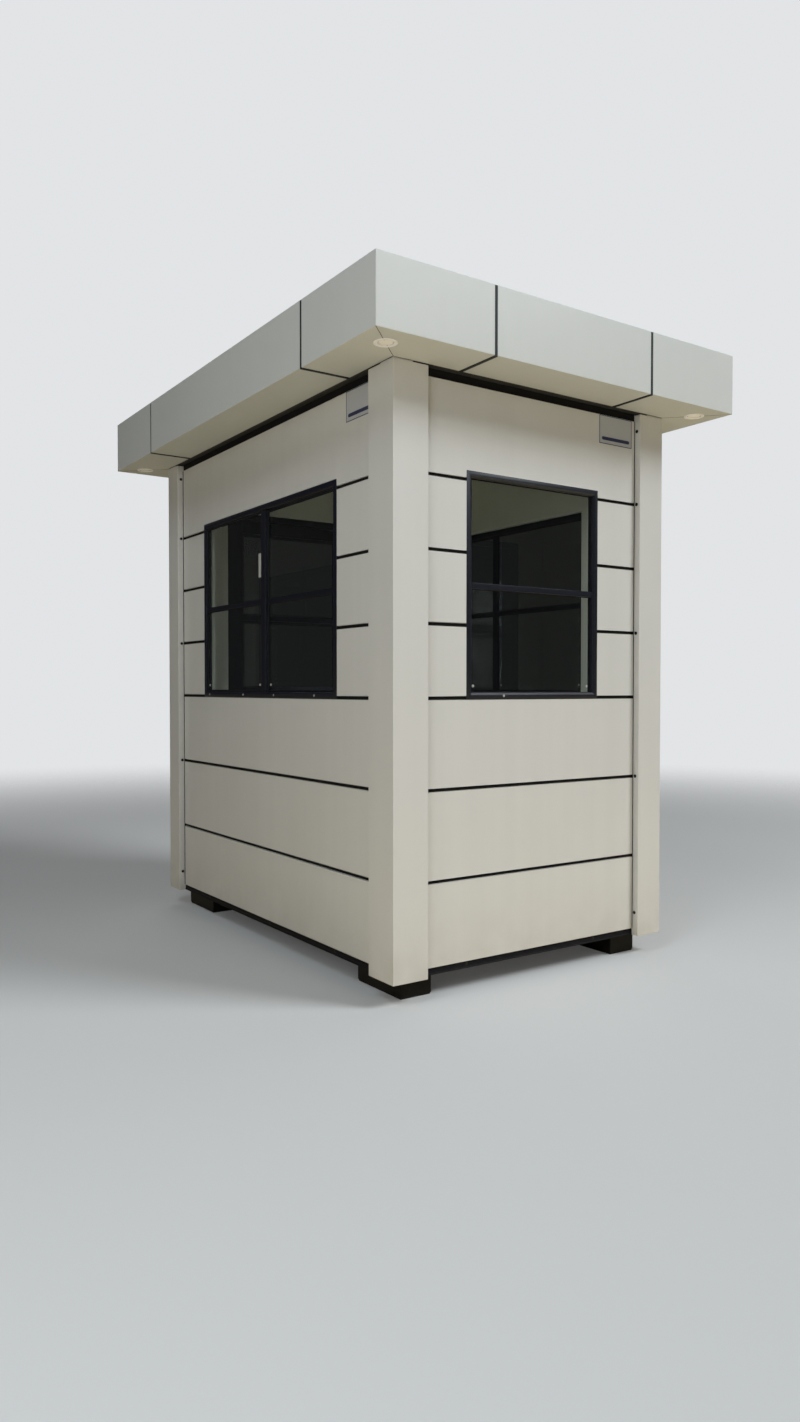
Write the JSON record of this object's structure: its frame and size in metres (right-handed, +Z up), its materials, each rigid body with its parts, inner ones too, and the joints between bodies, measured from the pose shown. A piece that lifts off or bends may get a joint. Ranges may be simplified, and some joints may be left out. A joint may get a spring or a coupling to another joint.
{
  "type": "security guard booth",
  "caption": "Small prefabricated guard booth with cream composite cladding, dark window frames, corner column covers and a flat roof with a deep overhanging fascia",
  "frame": {"origin": "middle of the booth's plan, on the ground under its feet", "axes": "+X is the right wall's side, -Y is the front wall, +Z is up"},
  "size_m": [1.94, 2.74, 2.745],
  "materials": {
    "feet_steel": "black satin paint",
    "base_steel": "dark grey paint",
    "post_steel": "cream paint",
    "beam_steel": "black paint",
    "skirting_steel": "anthracite paint",
    "joint_black": "matt black",
    "cover_sheet": "cream satin coating",
    "roof_sheet": "cream satin coating",
    "board_sheet": "cream satin coating",
    "wall_panel": "off-white coating",
    "floor_board": "grey-brown floor sheet",
    "ceiling_panel": "off-white coating",
    "roof_panel": "light grey coating",
    "tinted_glass": "clear with a slight grey-green tint",
    "handle_metal": "black satin coating",
    "spotlight_plastic": "white",
    "window_aluminium": "anthracite powder coat"
  },
  "bodies": {
    "root": {"back_cladding": "board_sheet", "back_left_column_cover": "cover_sheet", "back_left_roof_cassette": "roof_sheet", "back_right_column_cover": "cover_sheet", "back_right_roof_cassette": "roof_sheet", "back_roof_cassette": "roof_sheet", "back_wall": "wall_panel", "base_frame": "base_steel", "ceiling_panel": "ceiling_panel", "corner_posts": "post_steel", "door_frame": "window_aluminium", "door_glass": "tinted_glass", "door_handle": "handle_metal", "door_leaf": "window_aluminium", "floor_panel": "floor_board", "front_cladding": "board_sheet", "front_left_column_cover": "cover_sheet", "front_left_roof_cassette": "roof_sheet", "front_right_column_cover": "cover_sheet", "front_right_roof_cassette": "roof_sheet", "front_roof_cassette": "roof_sheet", "front_wall": "wall_panel", "front_window_frame": "window_aluminium", "front_window_glass": "tinted_glass", "head_strips": "joint_black", "joint_strips": "joint_black", "left_cladding": "board_sheet", "left_roof_cassette": "roof_sheet", "left_wall": "wall_panel", "left_window_frame": "window_aluminium", "left_window_glass": "tinted_glass", "left_window_inner_sash": "window_aluminium", "left_window_outer_sash": "window_aluminium", "right_cladding": "board_sheet", "right_roof_cassette": "roof_sheet", "right_wall": "wall_panel", "right_window_frame": "window_aluminium", "right_window_glass": "tinted_glass", "right_window_inner_sash": "window_aluminium", "right_window_outer_sash": "window_aluminium", "roof_beam": "beam_steel", "roof_panel": "roof_panel", "skirting_strips": "skirting_steel", "soffit_spotlights": "spotlight_plastic", "support_feet": "feet_steel"}
  },
  "joints": []
}
